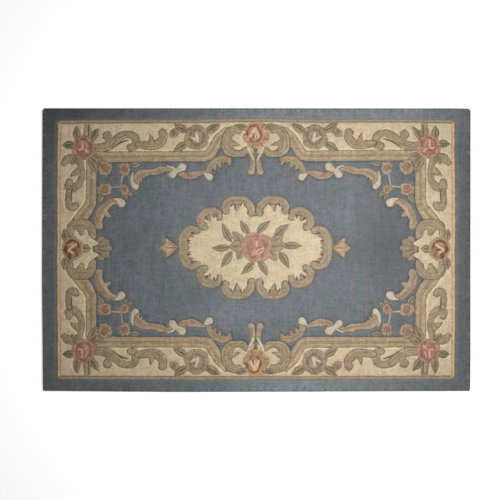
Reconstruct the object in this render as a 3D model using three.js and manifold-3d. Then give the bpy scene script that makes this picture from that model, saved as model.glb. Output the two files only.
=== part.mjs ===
// A hand-tufted wool rug in the aubusson style, lying flat, in millimetres with +Z up.
// +X is the long way and +Y the short way, and the origin is under the middle of the rug.
// The pile and its backing are one thick sheet. The sheet's outline strays as a hand-made one does, and
// the main lines of its pattern of scrolls, leaves and roses are carved into the pile as grooves.
import * as THREE from "three";
import { mergeVertices } from "three/addons/utils/BufferGeometryUtils.js";
import Module from "manifold-3d";

// Driving dimensions
const RUG_LENGTH = 1798;
const RUG_WIDTH = 1188;
const THICKNESS = 13;
const CARVE_WIDTH = 5;
const CARVE_DEPTH = 3.2;

// How far each edge strays outwards from a straight line, at equal steps from left to right or bottom to top
const EDGE_STRAY = {
  bottom: [-3.6, -2.0, 0.9, 2.6, 2.4, -0.5, 1.6, 0.7, -0.8, -1.0, -2.0],
  right: [-0.4, 1.0, 0.5, -0.9, 0.0, 1.4, -1.4, 0.0, 2.0],
  top: [1.6, 0.2, -1.6, -0.9, 0.8, 1.4, -0.8, -1.5, -0.6, 0.9, -0.1],
  left: [-3.6, -1.4, 0.2, 2.2, 2.0, -0.4, -3.2, 0.4, 0.8],
};
const CORNER_RADIUS = { bottomLeft: 6, bottomRight: 10, topRight: 12, topLeft: 5 };

// The rolled rim of the pile: how far inside the outline it stands at each height
const RIM = [
  { height: 0, inset: 3.5 },
  { height: 3.5, inset: 0.8 },
  { height: 8, inset: 0 },
  { height: 11.3, inset: 1.4 },
  { height: THICKNESS, inset: 5 },
];

// The pattern is drawn for one quarter: x runs outwards along the rug and y outwards across it.
// Two lines frame the border, as half sizes.
const BORDER_LINES = [
  { halfX: 840, halfY: 546 },
  { halfX: 822, halfY: 529 },
];

// Ribbons are rows of places on their middle line, with the width there
const FRAME_BAND = [
  { x: 90, y: 504, wide: 14 },
  { x: 122, y: 498, wide: 32 },
  { x: 152, y: 466, wide: 44 },
  { x: 198, y: 391, wide: 44 },
  { x: 440, y: 391, wide: 44 },
  { x: 693, y: 391, wide: 44 },
  { x: 693, y: 205, wide: 44 },
  { x: 711, y: 166, wide: 46 },
  { x: 742, y: 139, wide: 38 },
  { x: 768, y: 119, wide: 16 },
];
const LONG_SCROLL = [
  { x: 684, y: 436, wide: 30 },
  { x: 650, y: 434, wide: 28 },
  { x: 616, y: 445, wide: 36 },
  { x: 592, y: 466, wide: 28 },
  { x: 567, y: 485, wide: 30 },
  { x: 538, y: 492, wide: 30 },
  { x: 515, y: 482, wide: 30 },
  { x: 509, y: 460, wide: 28 },
  { x: 514, y: 440, wide: 26 },
  { x: 531, y: 432, wide: 22 },
];
const SECOND_SCROLL = [
  { x: 496, y: 445, wide: 18 },
  { x: 474, y: 441, wide: 32 },
  { x: 444, y: 437, wide: 32 },
  { x: 416, y: 444, wide: 36 },
  { x: 398, y: 460, wide: 34 },
  { x: 391, y: 478, wide: 29 },
  { x: 400, y: 496, wide: 30 },
];
const SHORT_SCROLL = [
  { x: 744, y: 384, wide: 20 },
  { x: 737, y: 350, wide: 26 },
  { x: 734, y: 316, wide: 26 },
  { x: 742, y: 284, wide: 28 },
  { x: 762, y: 264, wide: 30 },
  { x: 784, y: 266, wide: 30 },
  { x: 788, y: 286, wide: 24 },
];
const SHORT_HOOK = [
  { x: 786, y: 252, wide: 20 },
  { x: 788, y: 215, wide: 22 },
  { x: 786, y: 188, wide: 22 },
  { x: 773, y: 176, wide: 20 },
  { x: 760, y: 184, wide: 20 },
  { x: 758, y: 198, wide: 16 },
];
const TOP_ARM = [
  { x: 70, y: 497, wide: 20 },
  { x: 94, y: 499, wide: 30 },
  { x: 116, y: 486, wide: 36 },
  { x: 126, y: 458, wide: 42 },
  { x: 122, y: 428, wide: 46 },
  { x: 104, y: 407, wide: 36 },
  { x: 78, y: 402, wide: 26 },
  { x: 54, y: 403, wide: 30 },
  { x: 41, y: 416, wide: 24 },
];
const SIDE_ARM = [
  { x: 783, y: 64, wide: 28 },
  { x: 782, y: 92, wide: 32 },
  { x: 767, y: 120, wide: 40 },
  { x: 736, y: 132, wide: 44 },
  { x: 706, y: 118, wide: 42 },
  { x: 692, y: 86, wide: 34 },
  { x: 690, y: 58, wide: 32 },
];
const UPPER_BRACKET = [
  { x: 507, y: 266, wide: 30 },
  { x: 507, y: 290, wide: 24 },
  { x: 499, y: 309, wide: 32 },
  { x: 480, y: 325, wide: 34 },
  { x: 456, y: 330, wide: 30 },
  { x: 430, y: 328, wide: 28 },
  { x: 406, y: 336, wide: 28 },
  { x: 380, y: 344, wide: 26 },
  { x: 350, y: 340, wide: 26 },
];
const MIDDLE_BRACKET = [
  { x: 326, y: 328, wide: 16 },
  { x: 302, y: 320, wide: 24 },
  { x: 275, y: 318, wide: 30 },
  { x: 248, y: 326, wide: 20 },
  { x: 226, y: 328, wide: 16 },
];
const ACANTHUS = [
  { x: 209, y: 322, wide: 16 },
  { x: 205, y: 344, wide: 24 },
  { x: 187, y: 360, wide: 36 },
  { x: 160, y: 378, wide: 36 },
  { x: 130, y: 389, wide: 32 },
  { x: 110, y: 382, wide: 20 },
];
const LOWER_BRACKET = [
  { x: 570, y: 184, wide: 26 },
  { x: 567, y: 202, wide: 32 },
  { x: 592, y: 205, wide: 24 },
  { x: 616, y: 194, wide: 26 },
  { x: 638, y: 175, wide: 30 },
  { x: 655, y: 148, wide: 34 },
  { x: 662, y: 120, wide: 32 },
  { x: 663, y: 100, wide: 24 },
];

// The lobes round the medallion, measured from the medallion's own middle
const MEDALLION = { x: 0, y: 11 };
const TOP_LOBE = [
  { x: 24, y: 152, wide: 26 },
  { x: 22, y: 174, wide: 28 },
  { x: 46, y: 196, wide: 34 },
  { x: 77, y: 200, wide: 36 },
  { x: 108, y: 195, wide: 36 },
  { x: 129, y: 180, wide: 32 },
  { x: 135, y: 158, wide: 26 },
];
const CORNER_LOBE = [
  { x: 160, y: 146, wide: 26 },
  { x: 171, y: 156, wide: 26 },
  { x: 194, y: 147, wide: 34 },
  { x: 217, y: 136, wide: 34 },
  { x: 233, y: 117, wide: 30 },
  { x: 238, y: 98, wide: 26 },
  { x: 222, y: 91, wide: 24 },
];
const SIDE_LOBE = [
  { x: 248, y: 72, wide: 26 },
  { x: 268, y: 76, wide: 30 },
  { x: 290, y: 65, wide: 32 },
  { x: 304, y: 42, wide: 32 },
  { x: 304, y: 15, wide: 34 },
  { x: 304, y: -15, wide: 34 },
  { x: 304, y: -42, wide: 32 },
  { x: 290, y: -65, wide: 32 },
  { x: 268, y: -76, wide: 30 },
  { x: 248, y: -72, wide: 26 },
];

// Leaves and thorns run from the foot to the tip
const ARM_THORNS = [
  { x: 108, y: 454, tipX: 66, tipY: 450, wide: 24 },
  { x: 736, y: 108, tipX: 739, tipY: 62, wide: 30 },
];
const CORNER_LEAVES = [
  { x: 770, y: 440, tipX: 817, tipY: 441, wide: 28 },
  { x: 755, y: 465, tipX: 755, tipY: 526, wide: 30 },
  { x: 714, y: 465, tipX: 703, tipY: 524, wide: 30 },
  { x: 696, y: 458, tipX: 657, tipY: 510, wide: 26 },
];
const ROSE_LEAVES = [
  { x: 106, y: 26, tipX: 142, tipY: 96, wide: 32 },
  { x: 30, y: 42, tipX: 66, tipY: 110, wide: 25 },
];
const END_LEAVES = [{ x: 112, y: 4, tipX: 188, tipY: 4, wide: 33 }];

// Whole flowers lie on top of their leaves
const QUARTER_ROSES = [
  { x: 728, y: 431, across: 94, along: 98 },
  { x: 254, y: 474, across: 98, along: 98 },
];
const TOP_ROSE = { x: 0, y: 476, across: 102, along: 96 };
const SIDE_ROSE = { x: 770, y: 3, across: 84, along: 94 };
const MIDDLE_ROSE = { x: 0, y: 3, across: 120, along: 122 };
const ROSE_POINTS = 12;
const ROSE_PETALS = 6;
const PETAL_SWELL = 0.05;

// The tufter's hand: the pattern sits a little high along its middle and in one corner, and its lines
// sway sideways and wave up and down a little. Each wave has one length along the rug and one across it.
const LIFT = 6;
const CORNER_LIFT = { x: 620, y: 430, height: 12, reachX: 260, reachY: 110 };
const SWAY = { height: 1.6, lengthX: 1320, lengthY: 600 };
const WAVE = { height: 1.6, lengthX: 720, lengthY: 1070 };

function byHand(point) {
  const turn = (distance, length) => (2 * Math.PI * distance) / length;
  const lift = LIFT * Math.cos(turn(point.x, 2 * RUG_LENGTH));
  const offX = (point.x - CORNER_LIFT.x) / CORNER_LIFT.reachX;
  const offY = (point.y - CORNER_LIFT.y) / CORNER_LIFT.reachY;
  const cornerLift = CORNER_LIFT.height * Math.exp(-offX * offX - offY * offY);
  const sway = SWAY.height * Math.cos(turn(point.x, SWAY.lengthX)) * Math.sin(turn(point.y, SWAY.lengthY));
  const wave = WAVE.height * Math.sin(turn(point.x, WAVE.lengthX)) * Math.cos(turn(point.y, WAVE.lengthY));
  return new THREE.Vector2(point.x + sway, point.y + lift + cornerLift + wave);
}

// Which quarters of the rug hold a motif, as the signs of x and y
const FOUR_QUARTERS = [
  [1, 1],
  [-1, 1],
  [1, -1],
  [-1, -1],
];
const TWO_ENDS = [
  [1, 1],
  [-1, 1],
];
const TWO_SIDES = [
  [1, 1],
  [1, -1],
];
const ONCE = [[1, 1]];
const RUG_MIDDLE = { x: 0, y: 0 };

// Each drawing function returns an outline, widened all round by grow

function ribbon(rows, grow) {
  const middle = new THREE.SplineCurve(rows.map((row) => new THREE.Vector2(row.x, row.y)));
  const last = rows.length - 1;
  const oneSide = [];
  const otherSide = [];
  rows.forEach((row, i) => {
    const along = middle.getTangent(i / last);
    const across = new THREE.Vector2(-along.y, along.x).multiplyScalar(row.wide / 2 + grow);
    oneSide.push(new THREE.Vector2(row.x, row.y).add(across));
    otherSide.unshift(new THREE.Vector2(row.x, row.y).sub(across));
  });
  const ROUND_END = 0.85;
  const reach = (row) => ROUND_END * (row.wide / 2 + grow);
  const head = middle.getPoint(1).addScaledVector(middle.getTangent(1), reach(rows[last]));
  const foot = middle.getPoint(0).addScaledVector(middle.getTangent(0), -reach(rows[0]));
  return [...oneSide, head, ...otherSide, foot];
}

// A band along straight rows, with mitred corners
function band(rows, grow) {
  const places = rows.map((row) => new THREE.Vector2(row.x, row.y));
  const last = rows.length - 1;
  const oneSide = [];
  const otherSide = [];
  rows.forEach((row, i) => {
    const arriving = places[Math.max(i, 1)].clone().sub(places[Math.max(i, 1) - 1]).normalize();
    const leaving = places[Math.min(i, last - 1) + 1].clone().sub(places[Math.min(i, last - 1)]).normalize();
    const along = arriving.clone().add(leaving).normalize();
    const mitre = along.dot(arriving);
    const across = new THREE.Vector2(-along.y, along.x).multiplyScalar((row.wide / 2 + grow) / mitre);
    oneSide.push(places[i].clone().add(across));
    otherSide.unshift(places[i].clone().sub(across));
  });
  return [...oneSide, ...otherSide];
}

// A pointed leaf or thorn
function leaf(row, grow) {
  const WAIST = [
    { at: 0.3, part: 1 },
    { at: 0.7, part: 0.75 },
  ];
  const along = new THREE.Vector2(row.tipX - row.x, row.tipY - row.y);
  const length = along.length() + 2 * grow;
  along.normalize();
  const across = new THREE.Vector2(-along.y, along.x);
  const foot = new THREE.Vector2(row.x, row.y).addScaledVector(along, -grow);
  const side = (section, sign) => {
    const out = sign * section.part * (row.wide / 2 + grow);
    return foot.clone().addScaledVector(along, section.at * length).addScaledVector(across, out);
  };
  const oneSide = WAIST.map((section) => side(section, 1));
  const otherSide = WAIST.map((section) => side(section, -1)).reverse();
  return [foot, ...oneSide, foot.clone().addScaledVector(along, length), ...otherSide];
}

// A rose seen from above: an oval with a scalloped rim
function rose(flower, grow) {
  const points = [];
  for (let i = 0; i < ROSE_POINTS; i += 1) {
    const angle = (2 * Math.PI * i) / ROSE_POINTS;
    const swell = 1 + PETAL_SWELL * Math.cos(ROSE_PETALS * angle);
    const reachX = (flower.across / 2) * swell + grow;
    const reachY = (flower.along / 2) * swell + grow;
    points.push(new THREE.Vector2(flower.x + reachX * Math.cos(angle), flower.y + reachY * Math.sin(angle)));
  }
  return points;
}

// A line framing the border, in enough pieces to follow the tufter's hand
function frameLine(line, grow) {
  const PIECES = 4;
  const corners = [
    [1, -1],
    [1, 1],
    [-1, 1],
    [-1, -1],
  ];
  const points = [];
  corners.forEach(([x, y], i) => {
    const [nextX, nextY] = corners[(i + 1) % corners.length];
    for (let piece = 0; piece < PIECES; piece += 1) {
      const part = piece / PIECES;
      const alongX = x + (nextX - x) * part;
      const alongY = y + (nextY - y) * part;
      points.push(new THREE.Vector2(alongX * (line.halfX + grow), alongY * (line.halfY + grow)));
    }
  });
  return points;
}

// The motifs from the ground up. What is carved later lies on top of what is carved before.
const motifs = (list, draw, quarters, middle = RUG_MIDDLE) =>
  list.map((rows) => ({ draw: (grow) => draw(rows, grow), quarters, middle }));
const LAYERS = [
  motifs([BORDER_LINES[0]], frameLine, ONCE),
  motifs([BORDER_LINES[1]], frameLine, ONCE),
  motifs([FRAME_BAND], band, FOUR_QUARTERS),
  [...motifs([TOP_ARM, SIDE_ARM], ribbon, FOUR_QUARTERS), ...motifs(ARM_THORNS, leaf, FOUR_QUARTERS)],
  motifs([UPPER_BRACKET, MIDDLE_BRACKET, ACANTHUS, LOWER_BRACKET], ribbon, FOUR_QUARTERS),
  motifs([LONG_SCROLL, SECOND_SCROLL, SHORT_SCROLL, SHORT_HOOK], ribbon, FOUR_QUARTERS),
  motifs([TOP_LOBE, CORNER_LOBE], ribbon, FOUR_QUARTERS, MEDALLION),
  motifs([SIDE_LOBE], ribbon, TWO_ENDS, MEDALLION),
  motifs(CORNER_LEAVES, leaf, FOUR_QUARTERS),
  motifs(ROSE_LEAVES, leaf, FOUR_QUARTERS, MEDALLION),
  motifs(END_LEAVES, leaf, TWO_ENDS, MEDALLION),
  motifs(QUARTER_ROSES, rose, FOUR_QUARTERS),
  motifs([TOP_ROSE], rose, TWO_SIDES),
  motifs([SIDE_ROSE], rose, TWO_ENDS),
  motifs([MIDDLE_ROSE], rose, ONCE, MEDALLION),
];

// A motif's outlines on the rug, one for each quarter that holds it
function outlines(motif, grow) {
  return motif.quarters.map(([signX, signY]) => {
    const points = motif.draw(grow).map((point) => {
      return byHand({ x: motif.middle.x + signX * point.x, y: motif.middle.y + signY * point.y });
    });
    return THREE.ShapeUtils.isClockWise(points) ? points.reverse() : points;
  });
}

// The outline of the rug, from the bottom left corner round by the right
function rugOutline(inset) {
  const halfX = RUG_LENGTH / 2 - inset;
  const halfY = RUG_WIDTH / 2 - inset;
  const { bottomLeft, bottomRight, topRight, topLeft } = CORNER_RADIUS;
  const reversed = (list) => [...list].reverse();
  const edges = [
    { stray: EDGE_STRAY.bottom, from: [-halfX + bottomLeft, -halfY], to: [halfX - bottomRight, -halfY] },
    { stray: EDGE_STRAY.right, from: [halfX, -halfY + bottomRight], to: [halfX, halfY - topRight] },
    { stray: reversed(EDGE_STRAY.top), from: [halfX - topRight, halfY], to: [-halfX + topLeft, halfY] },
    { stray: reversed(EDGE_STRAY.left), from: [-halfX, halfY - topLeft], to: [-halfX, -halfY + bottomLeft] },
  ];
  const straight = edges.map(({ stray, from, to }) => {
    const start = new THREE.Vector2(...from);
    const run = new THREE.Vector2(...to).sub(start);
    const outwards = new THREE.Vector2(run.y, -run.x).normalize();
    return stray.map((out, i) => {
      const part = i / (stray.length - 1);
      return start.clone().addScaledVector(run, part).addScaledVector(outwards, out);
    });
  });
  return straight.flatMap((edge, i) => {
    const before = straight[(i + straight.length - 1) % straight.length].at(-1);
    return [cornerPoint(before, edge[0], i % 2 === 0), ...edge];
  });
}

// The middle of a round corner between the end of one edge and the start of the next. A quarter circle
// stands this part of the way from its chord to the square corner.
function cornerPoint(end, start, turnsIntoX) {
  const QUARTER_CIRCLE = Math.SQRT2 - 1;
  const corner = turnsIntoX ? new THREE.Vector2(end.x, start.y) : new THREE.Vector2(start.x, end.y);
  const chordMiddle = end.clone().lerp(start, 0.5);
  return chordMiddle.lerp(corner, QUARTER_CIRCLE);
}

const wasm = await Module();
wasm.setup();

function toSolid(geometry) {
  const bare = geometry.clone();
  bare.deleteAttribute("normal");
  bare.deleteAttribute("uv");
  const merged = mergeVertices(bare);
  return new wasm.Manifold(
    new wasm.Mesh({
      numProp: 3,
      vertProperties: new Float32Array(merged.attributes.position.array),
      triVerts: new Uint32Array(merged.index.array),
    }),
  );
}

function toGeometry(solid) {
  const mesh = solid.getMesh();
  const geometry = new THREE.BufferGeometry();
  geometry.setAttribute("position", new THREE.BufferAttribute(mesh.vertProperties, 3));
  geometry.setIndex(new THREE.BufferAttribute(mesh.triVerts, 1));
  geometry.computeVertexNormals();
  return geometry;
}

// The rug before carving: rings of its outline at the heights of the rim, closed flat at both ends
function uncarvedRug() {
  const rings = RIM.map((row) => rugOutline(row.inset));
  const count = rings[0].length;
  const places = RIM.flatMap((row, level) => rings[level].flatMap((point) => [point.x, point.y, row.height]));
  const faces = [];
  for (let level = 0; level < RIM.length - 1; level += 1) {
    for (let i = 0; i < count; i += 1) {
      const low = level * count + i;
      const lowNext = level * count + ((i + 1) % count);
      faces.push(low, lowNext, lowNext + count);
      faces.push(low, lowNext + count, low + count);
    }
  }
  const topStart = (RIM.length - 1) * count;
  for (const [a, b, c] of THREE.ShapeUtils.triangulateShape(rings[0], [])) {
    faces.push(a, c, b);
  }
  for (const [a, b, c] of THREE.ShapeUtils.triangulateShape(rings.at(-1), [])) {
    faces.push(topStart + a, topStart + b, topStart + c);
  }
  const geometry = new THREE.BufferGeometry();
  geometry.setAttribute("position", new THREE.Float32BufferAttribute(places, 3));
  geometry.setIndex(faces);
  return toSolid(geometry);
}

function prism(points, bottom, top) {
  const geometry = new THREE.ExtrudeGeometry(new THREE.Shape(points), {
    depth: top - bottom,
    bevelEnabled: false,
  });
  geometry.translate(0, 0, bottom);
  return toSolid(geometry);
}

// Carving a layer: the ground is cut away to just outside each outline, and the pile inside it stays.
function carve(solid, layer) {
  const CLEAR = 1;
  const floor = THICKNESS - CARVE_DEPTH;
  const cuts = layer.flatMap((motif) => outlines(motif, CARVE_WIDTH / 2));
  const stays = layer.flatMap((motif) => outlines(motif, -CARVE_WIDTH / 2));
  let carved = solid;
  for (const points of cuts) {
    carved = carved.subtract(prism(points, floor, THICKNESS + CLEAR));
  }
  for (const points of stays) {
    carved = carved.add(prism(points, floor - CLEAR, THICKNESS));
  }
  return carved;
}

const carvedRug = toGeometry(LAYERS.reduce(carve, uncarvedRug()));
carvedRug.computeBoundingBox();
const boxMiddle = carvedRug.boundingBox.getCenter(new THREE.Vector3());
carvedRug.translate(-boxMiddle.x, -boxMiddle.y, 0);

const wool = new THREE.MeshStandardMaterial({ color: 0x74797f, roughness: 0.95, metalness: 0 });
const rug = new THREE.Mesh(carvedRug, wool);
rug.name = "rug";

const part = new THREE.Group();
part.add(rug);
export default part;
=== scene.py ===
# An aubusson rug, hand-tufted in wool and carved, lying flat on a pale floor and seen from above.
# The pattern is drawn in millimetres, as a tufter draws it on the canvas: x runs outwards along the rug
# and y outwards across it, from the rug's middle, and what is drawn later covers what was drawn before.
import math

import bmesh
import bpy
import numpy as np
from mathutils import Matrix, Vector, noise
from mathutils.geometry import delaunay_2d_cdt
from mathutils.kdtree import KDTree


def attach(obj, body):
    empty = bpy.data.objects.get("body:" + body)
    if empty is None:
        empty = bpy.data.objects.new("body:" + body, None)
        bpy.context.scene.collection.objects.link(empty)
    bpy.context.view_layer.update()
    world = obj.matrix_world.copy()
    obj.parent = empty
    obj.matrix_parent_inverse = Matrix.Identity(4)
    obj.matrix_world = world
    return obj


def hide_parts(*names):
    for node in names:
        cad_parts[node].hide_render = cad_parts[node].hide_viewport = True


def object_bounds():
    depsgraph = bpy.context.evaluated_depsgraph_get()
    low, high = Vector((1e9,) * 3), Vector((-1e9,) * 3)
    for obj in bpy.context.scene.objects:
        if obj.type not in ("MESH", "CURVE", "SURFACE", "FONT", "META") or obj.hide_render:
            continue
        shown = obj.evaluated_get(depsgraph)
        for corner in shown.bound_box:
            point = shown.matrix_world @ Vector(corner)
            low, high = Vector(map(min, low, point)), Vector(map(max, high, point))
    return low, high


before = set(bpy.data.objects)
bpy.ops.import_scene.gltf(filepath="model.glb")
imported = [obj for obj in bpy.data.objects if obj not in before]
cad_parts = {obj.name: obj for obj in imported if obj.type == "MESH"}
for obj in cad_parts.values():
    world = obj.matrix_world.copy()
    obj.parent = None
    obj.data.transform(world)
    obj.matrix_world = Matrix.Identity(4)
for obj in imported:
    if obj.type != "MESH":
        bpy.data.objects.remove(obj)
cad_low, cad_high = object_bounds()
scene = bpy.context.scene
MM = 0.001

# The studio: a camera straight above the rug, with the rug's middle a little right of the picture's.
# A soft lamp hangs above the rug, and the room's own light is even and white.
VIEW_WIDTH = 2.101
VIEW_MIDDLE = (-0.0267, -0.0002)
LENS_MM = 85
SENSOR_MM = 36
LAMP_PLACE = (0.36, 0.05, 1.75)
LAMP_SIZE = 0.8
LAMP_POWER = 33.5
ROOM_LIGHT = 0.2
FLOOR_SIZE = 60
FLOOR_DROP = 0.0005
FLOOR_GLOW = 0.52

camera = bpy.data.cameras.new("camera")
camera.lens = LENS_MM
camera.sensor_width = SENSOR_MM
camera_object = bpy.data.objects.new("camera", camera)
camera_object.location = (*VIEW_MIDDLE, cad_high[2] + VIEW_WIDTH * LENS_MM / SENSOR_MM)
scene.collection.objects.link(camera_object)
scene.camera = camera_object
scene.view_settings.view_transform = "Standard"

lamp = bpy.data.lights.new("overhead_lamp", "AREA")
lamp.size = LAMP_SIZE
lamp.energy = LAMP_POWER
lamp_object = bpy.data.objects.new("overhead_lamp", lamp)
lamp_object.location = LAMP_PLACE
lamp_object.visible_camera = False
scene.collection.objects.link(lamp_object)

room = bpy.data.worlds.new("room")
room.use_nodes = True
room.node_tree.nodes["Background"].inputs["Color"].default_value = (1, 1, 1, 1)
room.node_tree.nodes["Background"].inputs["Strength"].default_value = ROOM_LIGHT
scene.world = room

floor_bm = bmesh.new()
bmesh.ops.create_grid(floor_bm, x_segments=1, y_segments=1, size=FLOOR_SIZE)
floor_mesh = bpy.data.meshes.new("floor")
floor_bm.to_mesh(floor_mesh)
floor_bm.free()
floor = bpy.data.objects.new("floor", floor_mesh)
floor.location.z = -FLOOR_DROP
scene.collection.objects.link(floor)
floor_paint = bpy.data.materials.new("floor_paint")
floor_paint.use_nodes = True
floor_shader = floor_paint.node_tree.nodes["Principled BSDF"]
floor_shader.inputs["Base Color"].default_value = (0.85, 0.85, 0.85, 1)
floor_shader.inputs["Roughness"].default_value = 0.9
floor_shader.inputs["Emission Color"].default_value = (1, 1, 1, 1)
floor_shader.inputs["Emission Strength"].default_value = FLOOR_GLOW
floor_mesh.materials.append(floor_paint)

# The slate blue ground: wool tufts shot through the canvas and sheared level, from rim to rim.
# The outline strays as the hand-made edge does, and everything else is tufted over this ground.
# Every yarn is named by its colour and its use, and dyed just before its first motif.
RUG_LENGTH = 1798
RUG_WIDTH = 1188
CORNER_RADIUS = 6
EDGE_STRAY = {
    "bottom": (-3.6, -2.0, 0.9, 2.6, 2.4, -0.5, 1.6, 0.7, -0.8, -1.0, -2.0),
    "right": (-0.4, 1.0, 0.5, -0.9, 0.0, 1.4, -1.4, 0.0, 2.0),
    "top": (1.6, 0.2, -1.6, -0.9, 0.8, 1.4, -0.8, -1.5, -0.6, 0.9, -0.1),
    "left": (-3.6, -1.4, 0.2, 2.2, 2.0, -0.4, -3.2, 0.4, 0.8),
}
EDGE_FUZZ = 0.9
STEP = 5.0
RIM_INSET = 4.5

TUFT = 3.4
# The brown that a carved groove is painted towards, as painted shade where the pile dips.
PAINTED_GROOVE_SHADE = (0.10, 0.066, 0.040)
ROW_REACH = 30.0
# The wool's shade by its distance from a cut, in millimetres: painted darker at the cut as the groove's
# shade, a painted highlight just beside it, then the rows that the tufter worked.
EDGE_SHADE_HIGHLIGHT_AND_ROWS = (
    (0.0, 0.30), (3.0, 0.52), (5.2, 0.86), (8.2, 0.34), (11.6, 0.66), (15.0, 0.38), (19.0, 0.58), (24.0, 0.5),
)


def linear(colour):
    """A colour given as a screen shows it, from 0 to 255, as light."""
    return tuple(((c / 255 + 0.055) / 1.055) ** 2.4 for c in colour)


def wool(name, colour, second, mottle=1.0, streaks=1.0, line=0.72, shows_painted_light=False):
    """Cut wool pile of one dye. It drifts between two shades, mottles from tuft to tuft and streaks along
    and across the rug, and is painted darker round each tuft's head, as shade between the tufts. Along a
    motif's edge it is painted darker down the groove as shade, line setting how dark, then paler just
    beside it as a painted highlight, and then shows the rows that the tufter worked. If asked, it also
    carries painted light and shade laid over the whole pile."""
    material = bpy.data.materials.new(f"{name}_wool")
    material.use_nodes = True
    tree = material.node_tree
    shader = tree.nodes["Principled BSDF"]

    def node(kind, inputs, output=0, **settings):
        """The output of a new node, with its inputs linked from other outputs or set to a value."""
        made = tree.nodes.new(f"ShaderNode{kind}")
        for setting, value in settings.items():
            setattr(made, setting, value)
        for socket, value in inputs.items():
            if isinstance(value, bpy.types.NodeSocket):
                tree.links.new(value, made.inputs[socket])
            else:
                made.inputs[socket].default_value = value
        return made.outputs[output]

    def pattern(scale, detail, stretch=(1, 1, 1)):
        stretched = node("Mapping", {"Vector": place, "Scale": stretch})
        return node("TexNoise", {"Vector": stretched, "Scale": scale, "Detail": detail}, "Fac")

    def multiply(value, factor):
        return node("Math", {0: value, 1: factor}, operation="MULTIPLY")

    def vary(base, value, strength):
        """base + strength * (value - 0.5)"""
        change = node("Math", {0: value, 1: strength, 2: -strength / 2}, operation="MULTIPLY_ADD")
        return node("Math", {0: change, 1: base}, operation="ADD")

    def attribute(attribute_name):
        return node("Attribute", {}, "Fac", attribute_name=attribute_name)

    place = node("TexCoord", {}, "Object")
    tufts = node("TexVoronoi", {"Vector": place, "Scale": 1 / (TUFT * MM)}, "Distance")
    rows = tree.nodes.new("ShaderNodeValToRGB")
    for number, (distance, grey) in enumerate(EDGE_SHADE_HIGHLIGHT_AND_ROWS):
        stops = rows.color_ramp.elements
        stop = stops[number] if number < 2 else stops.new(distance / ROW_REACH)
        stop.position = distance / ROW_REACH
        stop.color = (grey, grey, grey, 1)
    tree.links.new(multiply(attribute("rows"), 1 / ROW_REACH), rows.inputs["Fac"])

    shade = vary(1.0, pattern(scale=125, detail=2), 0.85 * mottle)
    shade = vary(shade, pattern(scale=38, detail=2), 0.50 * mottle)
    shade = vary(shade, pattern(scale=1, detail=3, stretch=(190, 9, 1)), 0.46 * streaks)
    shade = vary(shade, pattern(scale=1, detail=3, stretch=(10, 170, 1)), 0.30 * streaks)
    # Painted darker towards the rim of each tuft's head, as shade in the gaps between the tufts.
    shade = vary(shade, tufts, -0.35)
    # The painted groove shade, the painted highlight beside it, and the rows.
    shade = vary(shade, rows.outputs["Color"], 0.42)
    # On the blue pile: painted light and shade over the rug, with a crease in its pile lay.
    if shows_painted_light:
        shade = multiply(shade, attribute("nap_and_painted_light"))

    clouds = pattern(scale=24, detail=4)
    drift = node("MapRange", {"Value": clouds, "From Min": 0.40, "From Max": 0.60})
    shades = {"A": (*linear(colour), 1), "B": (*linear(second), 1)}
    dye = node("Mix", {"Factor": drift, **shades}, "Result", data_type="RGBA")
    dyed = node("VectorMath", {0: dye, "Scale": shade}, operation="SCALE")

    # Down a carved groove the wool is painted darker, blotchily, as the groove's shade; line sets how dark.
    groove_shade_blotches = {"Value": pattern(scale=70, detail=2), "From Min": 0.36, "From Max": 0.64}
    uneven = node("MapRange", {**groove_shade_blotches, "To Min": 0.45 * line, "To Max": 1.5 * line})
    groove = multiply(attribute("carved"), uneven)
    seen = node("Mix", {"Factor": groove, "A": dyed, "B": (*PAINTED_GROOVE_SHADE, 1)}, "Result", data_type="RGBA")
    tree.links.new(seen, shader.inputs["Base Color"])

    bump = node("Bump", {"Height": tufts, "Strength": 0.5, "Distance": 1.2 * MM}, invert=True)
    tree.links.new(bump, shader.inputs["Normal"])
    shader.inputs["Roughness"].default_value = 0.55
    shader.inputs["Sheen Weight"].default_value = 0.08
    shader.inputs["Sheen Roughness"].default_value = 0.5
    return material


def smooth_line(rows):
    """Rows of numbers about a step apart, on a smooth curve through the given rows."""
    rows = [np.array(row, float) for row in rows]
    rows = [2 * rows[0] - rows[1], *rows, 2 * rows[-1] - rows[-2]]
    line = []
    for before, start, end, after in zip(rows, rows[1:], rows[2:], rows[3:]):
        count = max(1, round(math.dist(start[:2], end[:2]) / STEP))
        bend = 2 * before - 5 * start + 4 * end - after
        twist = 3 * start - before - 3 * end + after
        for t in np.arange(count) / count:
            line.append(start + ((end - before) * t + bend * t**2 + twist * t**3) / 2)
    return np.array([*line, rows[-2]])


def wobble(x, y, size, seed):
    """A smooth stray, from -1 to 1, that changes over a size in millimetres."""
    return noise.noise(Vector((x / size, y / size, seed)))


def rug_edge(stray, start, end):
    """One edge of the rug from start to end, straying outwards at equal steps."""
    start = np.array(start, float)
    run = np.array(end, float) - start
    length = np.hypot(*run)
    outwards = np.array((run[1], -run[0])) / length
    edge = []
    for along, out in smooth_line(list(zip(np.linspace(0, 1, len(stray)) * length, stray))):
        point = start + run * along / length
        edge.append(point + outwards * (out + EDGE_FUZZ * wobble(*point, 24, 1)))
    return edge


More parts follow.
